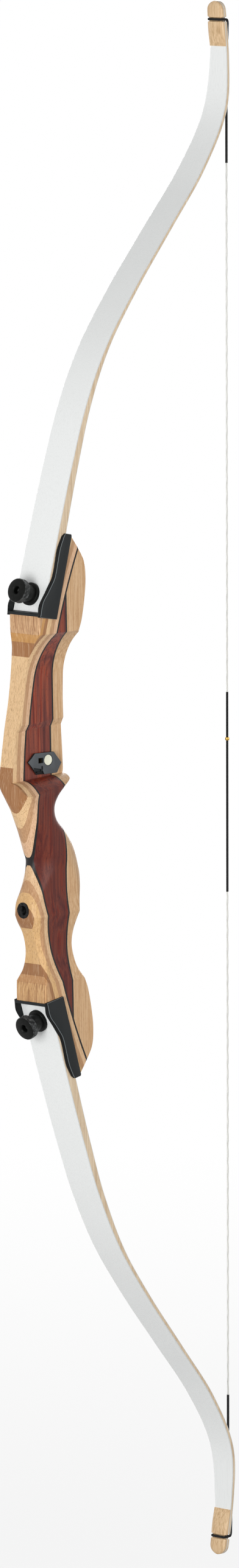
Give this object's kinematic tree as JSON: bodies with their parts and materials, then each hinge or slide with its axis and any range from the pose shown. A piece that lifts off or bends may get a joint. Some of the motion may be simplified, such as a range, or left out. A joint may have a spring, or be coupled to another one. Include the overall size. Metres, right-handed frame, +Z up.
{
  "type": "recurve bow",
  "caption": "Strung take-down recurve bow: laminated wooden riser with a sight window, glass-faced limbs in bolted pockets, served string and a stick-on arrow rest.",
  "frame": {"origin": "middle of the grip, on the bow's centre plane", "axes": "+Z up along the bow and parallel to the string, +X toward the archer, -Y the side of the sight window"},
  "size_m": [0.2973, 0.0465, 1.5457],
  "materials": {
    "beech": "satin lacquer",
    "core_wood": "satin lacquer",
    "dark_veneer": "satin lacquer",
    "limb_wood": "satin lacquer",
    "limb_glass": "white glass-fibre laminate",
    "black_plastic": "satin moulded",
    "black_metal": "black anodised",
    "steel": "machined",
    "brass": "machined",
    "pale_plastic": "moulded",
    "foam": "adhesive foam",
    "string_fibre": "waxed strands",
    "serving_thread": "wound thread"
  },
  "bodies": {
    "bow": {"upper_front_block": "beech", "lower_front_block": "beech", "front_veneer": "dark_veneer", "riser_core": "core_wood", "upper_rear_veneer": "dark_veneer", "lower_rear_veneer": "dark_veneer", "upper_rear_block": "beech", "lower_rear_block": "beech", "upper_limb_pocket": "black_plastic", "lower_limb_pocket": "black_plastic", "upper_back_glass": "limb_glass", "upper_back_lamination": "limb_wood", "upper_wedge": "limb_wood", "upper_belly_lamination": "limb_wood", "upper_belly_glass": "limb_glass", "upper_tip_overlay": "limb_wood", "lower_back_glass": "limb_glass", "lower_back_lamination": "limb_wood", "lower_wedge": "limb_wood", "lower_belly_lamination": "limb_wood", "lower_belly_glass": "limb_glass", "lower_tip_overlay": "limb_wood", "upper_bolt_insert": "brass", "lower_bolt_insert": "brass", "upper_locating_pin": "steel", "lower_locating_pin": "steel", "stabiliser_bushing": "steel", "plunger_bushing": "brass", "upper_sight_insert": "brass", "lower_sight_insert": "brass", "rest_pad": "foam", "rest_plate": "black_plastic", "rest_disc": "pale_plastic", "bowstring": "string_fibre", "upper_loop_serving": "serving_thread", "lower_loop_serving": "serving_thread", "centre_serving": "serving_thread", "nocking_point": "brass"},
    "upper_washer": {"upper_bolt_washer": "black_metal"},
    "upper_bolt": {"upper_limb_bolt": "black_metal"},
    "lower_washer": {"lower_bolt_washer": "black_metal"},
    "lower_bolt": {"lower_limb_bolt": "black_metal"},
    "arm": {"rest_arm": "steel"}
  },
  "joints": [
    {"name": "upper_bolt_travel", "type": "slide", "parent": "bow", "child": "upper_washer", "axis": [-0.9629, 0, 0.2698], "range_m": [0, 0.015]},
    {"name": "upper_bolt_turn", "type": "hinge", "parent": "upper_washer", "child": "upper_bolt", "pos_m": [-0.02021, 0, 0.20834], "axis": [-0.9629, 0, 0.2698], "range_deg": [0, 4320]},
    {"name": "lower_bolt_travel", "type": "slide", "parent": "bow", "child": "lower_washer", "axis": [-0.9513, 0, -0.3082], "range_m": [0, 0.015]},
    {"name": "lower_bolt_turn", "type": "hinge", "parent": "lower_washer", "child": "lower_bolt", "pos_m": [-0.01183, 0, -0.20898], "axis": [-0.9513, 0, -0.3082], "range_deg": [0, 4320]},
    {"name": "rest_arm_swing", "type": "hinge", "parent": "bow", "child": "arm", "pos_m": [-0.00526, 0.0017, 0.0329], "axis": [-0.0201, 0, 0.9998], "range_deg": [0, 90]}
  ],
  "couplings": [
    {"joint": "upper_bolt_turn", "follows": "upper_bolt_travel", "rad_per_m": 5026.5},
    {"joint": "lower_bolt_turn", "follows": "lower_bolt_travel", "rad_per_m": 5026.5}
  ]
}
